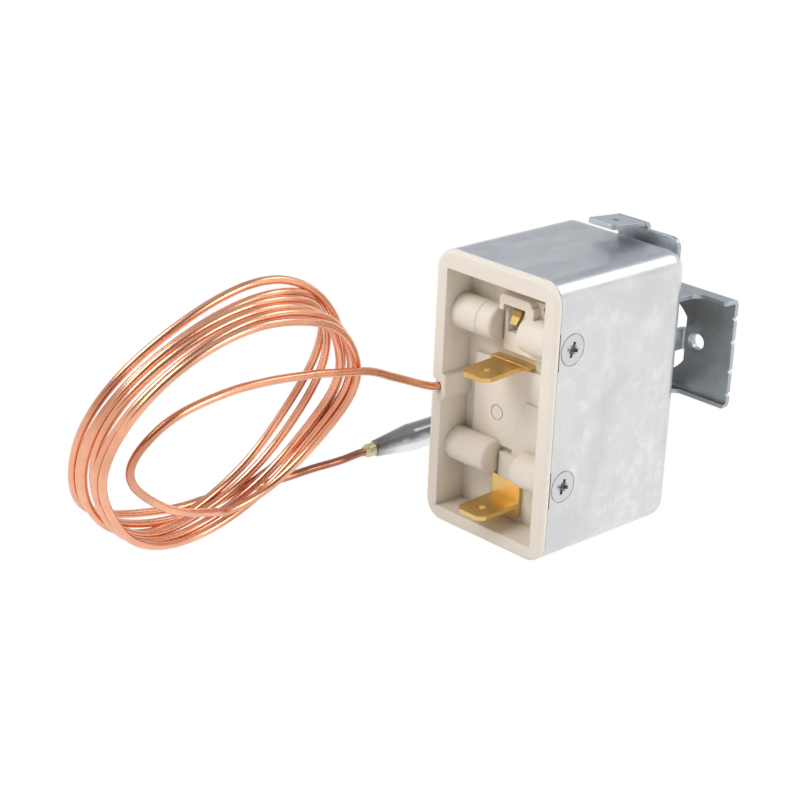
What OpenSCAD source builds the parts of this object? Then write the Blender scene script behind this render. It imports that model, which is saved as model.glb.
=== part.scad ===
// Capillary thermostat for panel mounting: steel case, moulded terminal base, front bracket,
// setpoint spindle, liquid-filled capillary system and changeover switch.
// X runs across the terminal face, Y from the terminals to the panel side, Z up.
// The case stands on its narrow bottom wall at Z = 0.

/* [Case] */
// Width of the case
case_w = 27.6; // [26.6:0.2:30]
// Height of the case
case_h = 49; // [48:0.5:54]
// Depth from the terminal rim to the panel side of the case
case_d = 33; // [32:0.5:38]
// Thickness of the case steel
case_wall = 0.8; // [0.6:0.1:1]
// Radius of the case edges that run front to back
corner_r = 3.6; // [3.6:0.2:5]
// Radius of the case edges round the panel side
nose_r = 3.4; // [2.4:0.2:3.4]

/* [Terminal base] */
// Thickness of the moulded rim in front of the steel edge
rim_t = 1.1; // [0.9:0.1:2]
// Rounding of the outer rim edge
rim_edge_r = 0.7; // [0.4:0.1:0.8]
// Clearance between the moulding and the steel
plug_gap = 0.1; // [0.05:0.05:0.2]
// Side walls of the terminal recess
recess_side = 2.6; // [2.4:0.1:3]
// Bottom wall of the terminal recess
recess_low = 2.6; // [2.2:0.1:3]
// Top wall of the terminal recess
recess_top = 3.3; // [2.8:0.1:3.6]
// Depth of the terminal recess
recess_d = 6.3; // [6:0.1:7]
// Thickness of the recess floor
floor_t = 2; // [1.6:0.1:2.2]
// Wall of the skirt round the switch
skirt_t = 1.5; // [1.3:0.1:1.6]
// Diameter of the upper screw bosses
boss_high_d = 6.2; // [6:0.2:7]
// Diameter of the lower screw bosses
boss_low_d = 6; // [5.8:0.2:7]

/* [Case screws] */
// Height of the lower screws
screw_low_z = 13.4; // [12.8:0.2:14]
// Distance of the upper screws below the case top
screw_drop = 11.5; // [10.6:0.1:12]
// Distance of the screws from the rim face
screw_y = 4.4; // [4.2:0.1:5]
// Diameter of the screw heads
screw_head_d = 5.3; // [5:0.1:5.8]
// Diameter of the screw shanks
screw_d = 2.9; // [2.5:0.1:3]

/* [Tabs] */
// Width of the push-on tabs
tab_w = 6.3; // [6:0.1:6.5]
// Thickness of the terminal brass
tab_t = 0.8; // [0.6:0.1:1]
// How far the upper tab stands out of the rim
tab_high_out = 4.4; // [3:0.1:5]
// How far the lower tab stands out of the rim
tab_low_out = 3.6; // [2.4:0.1:4.2]
// Diameter of the detent hole in each tab
tab_hole_d = 1.65; // [1.4:0.05:1.8]
// Distance of the upper tab below the case top
tab_drop = 17.4; // [17:0.1:18]
// Height of the lower tab
tab_low_z = 6.4; // [6:0.1:6.6]

/* [Bracket] */
// Thickness of the bracket sheet
sheet_t = 0.8; // [0.7:0.1:1]
// Width of the bracket face
face_w = 32.6; // [31:0.2:34]
// Height of the bracket face
face_h = 20.2; // [19.6:0.2:21]
// Distance from the panel side of the case to the outer bracket face
standoff = 11; // [10.4:0.2:13]
// Diameter of the spindle hole in the bracket
face_hole_d = 14.5; // [14.1:0.1:15]
// Distance between the two panel holes
panel_spacing = 17; // [16.8:0.1:18]
// Core diameter of the tapped panel holes
panel_hole_d = 2.9; // [2.5:0.1:3.1]
// Width of the upper bracket leg
leg_high_w = 19.8; // [18:0.2:20.4]
// Width of the lower bracket leg
leg_low_w = 10.6; // [9:0.2:12]

/* [Spindle] */
// Distance of the spindle axis below the case top
axis_drop = 20.1; // [19.8:0.1:20.3]
// Diameter of the spindle head
spindle_d = 6; // [5.6:0.1:6.2]
// Diameter of the spindle in the bush
journal_d = 4.8; // [4.4:0.1:5]
// Running clearance on the radius of shafts
run_gap = 0.04; // [0.03:0.01:0.08]
// Outer diameter of the bush
bush_d = 8; // [7.4:0.1:8.4]
// Length of the spindle beyond the bracket face
spindle_out = 0.4; // [0.2:0.1:3]

/* [Sensor] */
// Outer diameter of the capillary
capillary_d = 1.4; // [1.2:0.1:1.5]
// Diameter of the bulb
bulb_d = 5; // [4.5:0.1:6]
// Length of the bulb without its cone
bulb_l = 60; // [40:1:80]
// Diameter of the diaphragm capsule
capsule_d = 16; // [15:0.2:16.4]

/* [Hidden] */
$fn = 48;
tiny = 0.01;

// Levels along Y, counted from the rim face
nose_y = case_d;
inner_y = case_d - case_wall;
back_y = recess_d + floor_t;
base_d = back_y + 5.7;
face_y = nose_y + standoff;
spindle_end = face_y + spindle_out;

// Heights counted from the case top
axis_z = case_h - axis_drop;
screw_high_z = case_h - screw_drop;
tab_high_z = case_h - tab_drop;

// The whole body is centred over its footprint, from the upper tab's tip to the hole collars
collar_l = 0.8;
mid_y = (face_y + max(spindle_out, collar_l) - tab_high_out) / 2;

// Outline of the moulding where it plugs into the case
plug_w = case_w - 2 * (case_wall + plug_gap);
plug_z = case_wall + plug_gap;
seam = 0.1;
plug_h = case_h - 2 * plug_z;
plug_r = corner_r - case_wall - plug_gap;
recess_x = case_w / 2 - recess_side;
recess_z1 = case_h - recess_top;

// Capillary groove in the left wall
groove_z = 24.4;
groove_gap = 0.1;
groove_x = -case_w / 2 + case_wall + plug_gap + capillary_d / 2 + 0.1;
land_h = 5;
land_in = 0.9;

// Bosses end short of the middle
boss_left_x = 2.1;
boss_right_x = 3.7;
boss_edge = 0.6;
// Mould line round the upper left boss
mould_line_x = -5.5;
mould_line_w = 0.1;
mould_line_t = 0.06;
screw_tip_x = 5;
screw_cone = (screw_head_d - screw_d) / 2 + 0.2;
screw_land = 0.15;
head_gap = 0.15;
head_gap_l = 0.25;
relief_h = 6.4;
relief_l = 0.3;
recess_cross = 2.7;
recess_arm_w = 0.65;

// Pocket of the third contact
plateau_y = 5.6;
patch_t = 0.16;
ledge_y = 5;
ledge_x0 = -1.6;
ledge_x1 = 4.5;
ledge_z1 = 14.6;
block_y = 4.6;
block_x = 1.7;
block_z1 = case_h - 5.7;
block_z0 = block_z1 - 10.1;
pocket_x0 = -0.9;
pocket_x1 = 4;
pocket_z0 = block_z1 - 6.8;
pocket_z1 = block_z1 - 1.7;
rib_y = 3.2;
rib_t = 1.9;
rib_x0 = -1.9;
rib_x1 = 5.4;
rib_leg_z = block_z1 - 3.3;
third_x = 0.85;
third_z = block_z1 - 2.7;
third_w = 1.9;
core_hole_x = 7.4;
core_hole_z = block_z1 - 1;
core_hole_d = 1.3;
ejector_x = -3.2;
ejector_z = 21;
ejector_d = 2.8;

// Terminals
tab_high_tilt = 3;
tab_low_tilt = 2;
tab_chamfer = 1.2;
tab_hole_y = 3.3;
shoulder_w = 8.4;
shoulder_l = 2;
low_plate_x0 = -3.3;
low_plate_x1 = 3.1;
low_plate_z0 = 3.6;
low_plate_z1 = 10;
leg_z = 7;
leg_w = 3;

// Switch behind the recess floor, all on the spindle axis plane X = 0
contact_z = axis_z + 5.1;
contact_d = 2.4;
contact_h = 0.6;
blade_y = back_y + 1.8;
blade_t = 0.3;
blade_w = 4.4;
blade_z0 = leg_z + 1;
blade_z1 = contact_z + 1.6;
blade_foot_z1 = leg_z + 5;
blade_play = 0.06;
blade_rivet_d = 1.4;
blade_rivet_z = leg_z + 2.6;
snap_gap = 0.2;
pin_d = 2.4;
pin_gap = 0.12;
cover_t = 1.4;
cover_y0 = base_d - cover_t;
// Face of the outer fixed contact's leg
outer_leg_y = blade_y + blade_t + 2 * contact_h + snap_gap;

// Lever and its pivot
lever_y = base_d + 1.6;
lever_t = 1;
lever_w = 8;
pivot_y = lever_y + 2.8;
pivot_z = axis_z - 8.3;
pivot_d = 2;
ear_h = 4.2;

// Mechanism frame
frame_t = 1;
frame_w = 20;
frame_y1 = inner_y;
frame_z0 = nose_r + 0.2;
frame_z1 = axis_z + 8.1;
arm_z0 = pivot_z - 3.6;
arm_y0 = lever_y - 1;

// Setpoint drive
bush_flange_d = 11;
bush_flange_t = 1.2;
bush_nut_w = 12.7;
bush_nut_t = 2.4;
bush_out = 4;
flange_y = frame_y1 - frame_t - bush_flange_t;
bush_end = nose_y + bush_out;
clip_t = 0.6;
clip_play = 0.2;
clip_d = 8.4;
clip_groove_d = journal_d - 1;
journal_end = flange_y - clip_play - clip_t - 3.6;
nut_l = 4.6;
nut_h = 7;
nut_travel_room = 0.6;
nut_y0 = journal_end - nut_travel_room - 1;
spigot_d = 4.6;
spring_wire = 0.9;
spring_turns = 5;
spring_y0 = lever_y + lever_t + 0.6;
spring_r = spigot_d / 2 + spring_wire / 2 + 0.1;
stop_y = face_y - 4.4;
stop_t = 1.2;
stop_r = 6.8;
finger_w = 2.8;
tongue_x = 4.9;
tongue_w = 3.9;
face_flat_x = 6.05;
tongue_l = 5.2;
slot_w = 1.1;
slot_d = 1.4;

// Diaphragm capsule
capsule_z = 10.5;
capsule_y = lever_y + 5;
capsule_t = 3;
hub_d = 5;
stud_d = 3;
stud_gap = 0.2;

// Bracket
bend_in = 0.5;
bend_out = bend_in + sheet_t;
face_z0 = axis_z - face_h / 2;
face_z1 = axis_z + face_h / 2;
flange_l = 3.5;
lip_l = bend_out + 0.2;
foot_top = case_h + 1.2;
foot_round = 1.8;
earth_z = case_h + 1.4;
earth_root_w = tab_w + 0.2;
foot_w = 21.4;
foot_shoulder_z = case_h - 2.6;
foot_low_z = face_z0 - 6.8;
earth_x = 0.5;
earth_l = 8.1;
earth_tilt = 5;
flange_taper = 0.5;
face_corner_r = 0.6;
leg_fillet_r = 1.7;
collar_wall = 0.7;
mouth_extra = 0.7;
mouth_l = 0.4;
notch_drop = 0.5;
notch_near = 2.7;
notch_far = 7;
notch_r = 0.3;
rivet_d = 2.6;
rivet_head_d = 4.4;
rivet_head_t = 0.8;
rivet_high_x = 6.2;
rivet_high_z = case_h - 5.8;
rivet_low_z = face_z0 - 2.9;

// Coil of the spare capillary: a leaning ring that stands on its edge
coil_c = [-21.5, -41.2, 26];
coil_lean = 26;
coil_r = 24.2;
coil_band = 5.4;
coil_depth = 9.6;
coil_edge = 1;

// Free route of the capillary from the groove to the coil
lead_route = [
    [-12.1, 1.2, 24.4], [-12.1, 0.2, 24.4], [-12.4, -1, 24.5], [-12.9, -2.4, 24.9], [-13.3, -4.2, 25.6],
    [-13.4, -7, 26.8], [-13.4, -10.1, 28.1], [-13.3, -13, 29.4], [-13.1, -16, 30.4], [-12.9, -19.5, 31.1],
    [-12.7, -23, 31.8], [-12.6, -26.5, 32.5], [-12.4, -30, 33], [-12.2, -33.5, 33.5], [-12, -37, 33.9],
    [-11.9, -40.5, 34.1], [-12, -44, 34.1], [-12.1, -47.5, 33.8], [-12.4, -51, 33.2], [-12.8, -54.2, 32.3],
    [-13.5, -57, 30.8], [-14.4, -59.2, 28.7], [-15.6, -60.4, 26.4], [-16.8, -60.8, 24], [-18, -60.2, 21.5],
    [-19.3, -58.4, 18.8], [-20.6, -55.6, 16.1], [-22, -52.2, 13.4], [-23.3, -48.6, 10.9], [-24.6, -44.8, 8.9],
    [-25.7, -41, 7.3], [-26.6, -36.5, 5.9], [-27, -33.6, 5.3]
];
// Free route from the coil to the bulb
tail_route = [
    [-32.9, -27.4, 4.8], [-32.4, -25.2, 5], [-31.6, -21, 5.3], [-30.8, -16.8, 5.7], [-29.7, -13.5, 6.4],
    [-28.9, -11, 6.8], [-28.2, -9, 7.1], [-27.7, -6.8, 7.4], [-27.5, -4, 7.7], [-27.5, -2.4, 7.7]
];
solder_l = 2.6;
solder_d = 2.4;
bulb_start = tail_route[len(tail_route) - 1];
cone_l = 8.3;

// Inner end of the capillary, from the capsule rim up to the groove
capsule_rim_x = -capsule_d / 2 - 0.2;
capsule_rim_y = capsule_y + 1.5;
inner_route = [
    [groove_x, 1.2, groove_z], [groove_x, base_d, groove_z], [groove_x + 0.1, base_d + 2, groove_z - 0.4],
    [groove_x + 0.3, base_d + 4, groove_z - 1.8], [groove_x + 0.5, base_d + 5.6, groove_z - 4.4],
    [groove_x + 0.8, capsule_y, capsule_z + 6.5], [groove_x + 1, capsule_y + 0.8, capsule_z + 3.5],
    [capsule_rim_x - 2.2, capsule_rim_y, capsule_z + 1.1],
    [capsule_rim_x - 1, capsule_rim_y, capsule_z + 0.1], [capsule_rim_x, capsule_rim_y, capsule_z]
];

// Extrusions of a drawing along each axis
module along_x(x0, x1) {
    translate([x0, 0, 0]) rotate([90, 0, 90]) linear_extrude(x1 - x0) children();
}
module along_y(y0, y1) {
    translate([0, y1, 0]) rotate([90, 0, 0]) linear_extrude(y1 - y0) children();
}
module along_z(z0, z1) {
    translate([0, 0, z0]) linear_extrude(z1 - z0) children();
}
// Round bar along Y or X
module rod_y(d, y0, y1) {
    translate([0, y0, 0]) rotate([-90, 0, 0]) cylinder(d = d, h = y1 - y0);
}
module rod_x(d, x0, x1) {
    translate([x0, 0, 0]) rotate([0, 90, 0]) cylinder(d = d, h = x1 - x0);
}
// Box given by its two corners
module box(a, b) {
    translate(a) cube(b - a);
}
// Rectangle of width w and height h, standing on the axis, with round corners
module round_rect(w, h, r) {
    translate([-w / 2 + r, 0]) square([w - 2 * r, h]);
    translate([-w / 2, r]) square([w, h - 2 * r]);
    for (x = [-w / 2 + r, w / 2 - r], z = [r, h - r]) translate([x, z]) circle(r);
}
// Strip of length l and half width w whose far end has an edge radius e
module edge_profile(w, l, e) {
    square([w - e, l]);
    square([w, l - e]);
    intersection() {
        translate([w - e, l - e]) circle(e);
        square([w + 1, l + 1]);
    }
}
module two_sided(w, l, e) {
    edge_profile(w, l, e);
    mirror([1, 0]) edge_profile(w, l, e);
}
// Block from Y = 0 to l with edges of radius r along Y and of radius e round its far face
module nosed_block(w, h, l, r, e) {
    translate([0, 0, h / 2]) {
        translate([-w / 2 + r, 0, 0]) rotate([90, 0, 90]) linear_extrude(w - 2 * r)
            rotate(-90) two_sided(h / 2, l, e);
        translate([0, 0, -h / 2 + r]) linear_extrude(h - 2 * r) two_sided(w / 2, l, e);
        for (x = [-w / 2 + r, w / 2 - r], z = [-h / 2 + r, h / 2 - r])
            translate([x, 0, z]) rotate([-90, 0, 0]) rotate_extrude() edge_profile(r, l, e);
    }
}
// Quarter ring of bent sheet about the origin, mirrored into its quadrant
module quadrant_bend(sx, sz) {
    mirror([sx < 0 ? 1 : 0, 0]) mirror([0, sz < 0 ? 1 : 0]) intersection() {
        difference() {
            circle(bend_out);
            circle(bend_in);
        }
        square(bend_out + 1);
    }
}
// Round tube swept along a route by 8-sided rings
function unit(v) = v / norm(v);
function route_dir(p, i) =
    i == 0 ? unit(p[1] - p[0])
    : i == len(p) - 1 ? unit(p[i] - p[i - 1])
    : unit(unit(p[i + 1] - p[i]) + unit(p[i] - p[i - 1]));
function ring_side(t) = unit(cross(t, abs(t[2]) > 0.8 ? [0, 1, 0] : [0, 0, 1]));
function ring_point(p, a, b, r, angle) = p + r * (cos(angle) * a + sin(angle) * b);
function ring(p, t, r, n) = [
    for (k = [0 : n - 1]) ring_point(p, ring_side(t), cross(ring_side(t), t), r, 360 * k / n)
];
module swept_tube(route, d, n = 8) {
    rings = [for (i = [0 : len(route) - 1]) ring(route[i], route_dir(route, i), d / 2, n)];
    last = (len(route) - 1) * n;
    polyhedron(
        points = [for (r = rings) for (q = r) q],
        faces = concat(
            [[for (k = [n - 1 : -1 : 0]) k]],
            [for (i = [0 : len(route) - 2]) for (k = [0 : n - 1])
                [i * n + k, i * n + (k + 1) % n, (i + 1) * n + (k + 1) % n]],
            [for (i = [0 : len(route) - 2]) for (k = [0 : n - 1])
                [i * n + k, (i + 1) * n + (k + 1) % n, (i + 1) * n + k]],
            [[for (k = [0 : n - 1]) last + k]]
        )
    );
}
// Flat push-on tab along -Y from the origin, its upper face at Z = 0 and its root sunk by root
module flat_tab(w, l, t, chamfer, hole_from_tip, hole_d, root = 0) {
    translate([0, 0, -t]) difference() {
        linear_extrude(t) polygon([
            [-w / 2, root], [-w / 2, -l + chamfer], [-w / 2 + chamfer, -l],
            [w / 2 - chamfer, -l], [w / 2, -l + chamfer], [w / 2, root]
        ]);
        translate([0, -l + hole_from_tip, -1]) cylinder(d = hole_d, h = t + 2);
    }
}
module at_screws() {
    for (side = [-1, 1], z = [screw_low_z, screw_high_z])
        translate([0, screw_y, z]) mirror([side < 0 ? 1 : 0, 0, 0]) children();
}
// Countersunk screw along X with its head at the case side
module screw_shape() {
    translate([case_w / 2, 0, 0]) rotate([0, -90, 0]) {
        cylinder(d = screw_head_d, h = screw_land);
        translate([0, 0, screw_land]) cylinder(d1 = screw_head_d, d2 = screw_d, h = screw_cone);
        cylinder(d = screw_d, h = case_w / 2 - screw_tip_x);
    }
}
module at_rivets() {
    for (x = [-rivet_high_x, rivet_high_x]) translate([x, 0, rivet_high_z]) children();
    translate([0, 0, rivet_low_z]) children();
}

module steel_case() {
    color([0.78, 0.79, 0.8]) difference() {
        case_y0 = rim_t + seam;
        translate([0, case_y0, 0]) nosed_block(case_w, case_h, case_d - case_y0, corner_r, nose_r);
        translate([0, -1, case_wall]) nosed_block(
            case_w - 2 * case_wall, case_h - 2 * case_wall, inner_y + 1,
            corner_r - case_wall, nose_r - case_wall
        );
        at_screws() {
            screw_shape();
            // Narrow gap round the head
            translate([case_w / 2 - head_gap_l, 0, 0]) rod_x(screw_head_d + 2 * head_gap, 0, 1);
        }
        // Shallow reliefs of the steel edge beside each screw
        for (z = [screw_low_z, screw_high_z])
            box([-case_w, rim_t - 1, z - relief_h / 2], [case_w, rim_t + relief_l, z + relief_h / 2]);
        translate([0, 0, axis_z]) rod_y(bush_d, inner_y - 1, nose_y + 1);
        at_rivets() rod_y(rivet_d, inner_y - 1, nose_y + 1);
    }
}

module rim_block() {
    translate([0, rim_t, 0]) mirror([0, 1, 0]) nosed_block(case_w, case_h, rim_t, corner_r, rim_edge_r);
}
// Rounded peg that stands in from the side wall of the recess
module boss(d, reach, edge) {
    translate([recess_x + 1, 0, 0]) rotate([0, -90, 0])
        rotate_extrude() edge_profile(d / 2, recess_x + 1 - reach, edge);
}
module terminal_base() {
    color([0.88, 0.83, 0.77]) difference() {
        union() {
            difference() {
                union() {
                    rim_block();
                    translate([0, 0, plug_z]) along_y(rim_t, base_d) round_rect(plug_w, plug_h, plug_r);
                }
                box([-recess_x, -1, recess_low], [recess_x, recess_d, recess_z1]);
                translate([0, 0, plug_z + skirt_t]) along_y(back_y, base_d + 1)
                    round_rect(plug_w - 2 * skirt_t, plug_h - 2 * skirt_t, plug_r - skirt_t);
            }
            translate([0, screw_y, screw_high_z]) {
                boss(boss_high_d, boss_right_x, boss_edge);
                mirror([1, 0, 0]) boss(boss_high_d, boss_left_x, boss_edge);
            }
            translate([0, screw_y, screw_low_z]) {
                boss(boss_low_d, boss_right_x, 2 * boss_edge);
                mirror([1, 0, 0]) boss(boss_low_d, boss_left_x, boss_edge);
            }
            // Raised part of the floor above the upper left boss, up to the mould line
            box([mould_line_x, recess_d - 0.3, screw_high_z], [0, recess_d + 0.5, recess_z1 + 0.5]);
            // Land behind the capillary groove
            along_y(0, base_d) polygon([
                [-recess_x - 0.3, groove_z - land_h / 2], [-recess_x, groove_z - land_h / 2],
                [-recess_x + land_in, groove_z - land_h / 2 + land_in],
                [-recess_x + land_in, groove_z + land_h / 2 - 0.3],
                [-recess_x, groove_z + land_h / 2], [-recess_x - 0.3, groove_z + land_h / 2]
            ]);
            // Raised field between the bosses
            box([-recess_x + 2.4, plateau_y, screw_low_z + 2],
                [recess_x + 0.2, recess_d + 0.5, tab_high_z - 1.1]);
            // Irregular edge of a thin raised patch on that field
            along_y(plateau_y - patch_t, recess_d) polygon([
                [3.5, 24.8], [2.1, 22], [1.6, 19.1], [0.9, 16.7], [0.9, screw_low_z],
                [recess_x + 0.2, screw_low_z], [recess_x + 0.2, 24.8]
            ]);
            // Ledge over the plate of the lower tab
            box([ledge_x0, ledge_y, low_plate_z1 + 0.1], [ledge_x1, recess_d + 0.5, ledge_z1]);
            // Block and rib round the third contact
            box([-block_x, block_y, block_z0], [recess_x + 0.2, recess_d + 0.5, block_z1]);
            pocket_rib();
        }
        // Notch and groove for the capillary
        along_y(-1, rim_t + 1) polygon([
            [-case_w, groove_z - 1.6], [-case_w / 2, groove_z - 1.6], [groove_x + 0.6, groove_z - 0.9],
            [groove_x + 0.6, groove_z + 0.8], [-case_w / 2, groove_z + 1.5], [-case_w, groove_z + 1.5]
        ]);
        box([-case_w, -1, groove_z - capillary_d / 2 - groove_gap],
            [groove_x, base_d + 1, groove_z + capillary_d / 2 + groove_gap]);
        translate([groove_x, 0, groove_z]) rod_y(capillary_d + 2 * groove_gap, -1, base_d + 1);
        at_screws() screw_shape();
        // Mould line round the upper left boss
        translate([mould_line_x, screw_y, screw_high_z]) difference() {
            rod_x(boss_high_d + 1, 0, mould_line_w);
            rod_x(boss_high_d - 2 * mould_line_t, -1, 1);
        }
        // Pocket of the third contact and the small core hole beside it
        box([pocket_x0, -1, pocket_z0], [pocket_x1, recess_d, pocket_z1]);
        translate([core_hole_x, 0, core_hole_z]) rod_y(core_hole_d, 0, recess_d + 1);
        // Ejector mark
        translate([ejector_x, 0, ejector_z]) difference() {
            rod_y(ejector_d, plateau_y - 1, plateau_y + 0.15);
            rod_y(ejector_d - 0.4, plateau_y - 2, plateau_y + 1);
        }
        // Slots of the terminals
        upper_slot();
        lower_slot();
        third_slot();
    }
}
// Upside-down U with soft corners whose right leg runs into the upper right boss
module pocket_rib() {
    along_y(rib_y, block_y + tiny) {
        translate([rib_x0 + rib_t / 2, block_z1 - rib_t]) square([rib_x1 - rib_x0 - rib_t, rib_t]);
        for (x = [rib_x0 + rib_t / 2, rib_x1 - rib_t / 2])
            translate([x, block_z1 - rib_t / 2]) circle(d = rib_t);
        translate([rib_x0, rib_leg_z + 0.5]) square([pocket_x0 - rib_x0, block_z1 - rib_leg_z - 1.4]);
        translate([pocket_x1, screw_high_z]) square([rib_t, block_z1 - screw_high_z - rib_t / 2]);
    }
}
module upper_slot() {
    box([-shoulder_w / 2, recess_d - shoulder_l, tab_high_z - tab_t],
        [shoulder_w / 2, recess_d, tab_high_z]);
    box([-2, recess_d - 1, tab_high_z - tab_t], [2, back_y + 1, tab_high_z]);
}
module lower_slot() {
    box([-leg_w / 2, recess_d - 1, leg_z], [leg_w / 2, back_y + 1, leg_z + tab_t]);
}
module third_slot() {
    box([third_x, recess_d - 1, third_z], [third_x + third_w, back_y + 1, third_z + tab_t]);
}

module case_screws() {
    color([0.82, 0.82, 0.83]) at_screws() difference() {
        screw_shape();
        // Cross recess
        translate([case_w / 2, 0, 0]) for (turn = [0, 90]) rotate([turn - 17, 0, 0])
            box([-0.7, -recess_cross / 2, -recess_arm_w / 2], [1, recess_cross / 2, recess_arm_w / 2]);
        translate([case_w / 2, 0, 0]) rod_x(1.4, -0.8, 1);
        // Fine marks between the arms
        translate([case_w / 2, 0, 0]) for (turn = [45, 135]) rotate([turn - 17, 0, 0])
            box([-0.15, -1, -0.15], [1, 1, 0.15]);
    }
}

module upper_terminal() {
    color([0.84, 0.66, 0.28]) {
        translate([0, recess_d, tab_high_z]) rotate([tab_high_tilt, 0, 0]) difference() {
            flat_tab(tab_w, recess_d + tab_high_out, tab_t, tab_chamfer, tab_hole_y, tab_hole_d);
            box([-tab_w, -shoulder_l, -tab_t - 1], [tab_w, 1, 1]);
        }
        upper_slot_body();
        // Inner leg up the back of the floor
        box([-2, back_y, tab_high_z - tab_t], [2, back_y + tab_t, contact_z + 2]);
    }
}
module upper_slot_body() {
    box([-shoulder_w / 2, recess_d - shoulder_l, tab_high_z - tab_t],
        [shoulder_w / 2, recess_d, tab_high_z]);
    box([-2, recess_d - 1, tab_high_z - tab_t], [2, back_y + tab_t, tab_high_z]);
}

module lower_terminal() {
    color([0.84, 0.66, 0.28]) {
        low_tab_y = recess_d - tab_t / 2;
        translate([0, low_tab_y, tab_low_z]) rotate([tab_low_tilt, 0, 0])
            flat_tab(tab_w, low_tab_y + tab_low_out, tab_t, tab_chamfer, tab_hole_y, tab_hole_d);
        box([low_plate_x0, recess_d - tab_t, low_plate_z0], [low_plate_x1, recess_d, low_plate_z1]);
        // Leg through the floor and the foot that carries the blade
        box([-leg_w / 2, recess_d - tab_t, leg_z], [leg_w / 2, blade_y - blade_play, leg_z + tab_t]);
        box([-leg_w / 2, blade_y - tab_t, leg_z], [leg_w / 2, blade_y - blade_play, blade_foot_z1]);
    }
}

module third_terminal() {
    color([0.84, 0.66, 0.28]) {
        // Bent end in the pocket, turned down and towards the front
        intersection() {
            along_x(third_x, third_x + third_w) polygon([
                [recess_d, third_z + tab_t], [4.3, third_z + tab_t], [3.7, third_z + 0.3],
                [3.5, third_z - 0.6], [2.8, third_z - 1.8], [3.4, third_z - 2.2],
                [4.2, third_z - 0.9], [4.5, third_z], [recess_d, third_z]
            ]);
            // Tapered towards its end
            along_y(0, recess_d + 1) polygon([
                [third_x - tiny, third_z + 1], [third_x + third_w + tiny, third_z + 1],
                [third_x + third_w + tiny, third_z], [third_x + third_w - 0.3, third_z - 2.3],
                [third_x + 0.3, third_z - 2.3], [third_x - tiny, third_z]
            ]);
        }
        box([third_x, recess_d - tiny, third_z], [third_x + third_w, outer_leg_y + tab_t, third_z + tab_t]);
        box([-1.2, outer_leg_y, contact_z - 2], [third_x + third_w, outer_leg_y + tab_t, third_z + tab_t]);
    }
}

// Section of the bracket face with its upper flange and lower lip
module face_section() {
    translate([face_y - sheet_t, face_z0 + bend_out]) square([sheet_t, face_h - 2 * bend_out]);
    translate([face_y - bend_out, face_z1 - bend_out]) quadrant_bend(1, 1);
    translate([face_y - bend_out, face_z0 + bend_out]) quadrant_bend(1, -1);
    translate([face_y - flange_l, face_z1 - sheet_t]) square([flange_l - bend_out, sheet_t]);
    translate([face_y - lip_l, face_z0]) square([lip_l - bend_out, sheet_t]);
}
// Section of a leg that runs back to the case at height z and turns up or down into a foot
module leg_section(z, up, foot_z) {
    corner_z = up > 0 ? z + bend_out : z + sheet_t - bend_out;
    translate([nose_y + bend_out, z]) square([standoff - 2 * bend_out, sheet_t]);
    translate([nose_y + bend_out, corner_z]) quadrant_bend(-1, -up);
    translate([nose_y, min(corner_z, foot_z)]) square([sheet_t, abs(corner_z - foot_z)]);
}
// Concave fillets between a leg of half width x and the flange edge at y
module leg_fillets(x, y) {
    for (side = [0, 1]) mirror([side, 0]) translate([x, y]) difference() {
        translate([-tiny, -leg_fillet_r]) square([leg_fillet_r + tiny, leg_fillet_r + tiny]);
        translate([leg_fillet_r, -leg_fillet_r]) circle(leg_fillet_r);
    }
}
module upper_foot() {
    wide_z0 = face_z1 + bend_in + 0.2;
    tab_x0 = earth_x - earth_root_w / 2;
    tab_x1 = earth_x + earth_root_w / 2;
    translate([-foot_w / 2, wide_z0]) square([foot_w, foot_shoulder_z - wide_z0]);
    translate([tab_x0, wide_z0]) square([earth_root_w, earth_z - wide_z0]);
    translate([tab_x1, wide_z0]) square([foot_w / 2 - tab_x1 - foot_round, foot_top - wide_z0]);
    translate([tab_x1, wide_z0]) square([foot_w / 2 - tab_x1, foot_top - foot_round - wide_z0]);
    translate([foot_w / 2 - foot_round, foot_top - foot_round]) circle(foot_round);
}
// Tab bent back over the case from the top of the upper foot
module earth_tab() {
    translate([earth_x, nose_y + sheet_t - bend_out, earth_z]) {
        along_x(-earth_root_w / 2, earth_root_w / 2) quadrant_bend(1, 1);
        translate([0, 0, bend_out - 0.06]) rotate([-earth_tilt, 0, 0])
            flat_tab(tab_w, earth_l, tab_t, tab_chamfer / 2, tab_hole_y + 0.6, tab_hole_d, 0.3);
    }
}
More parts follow.
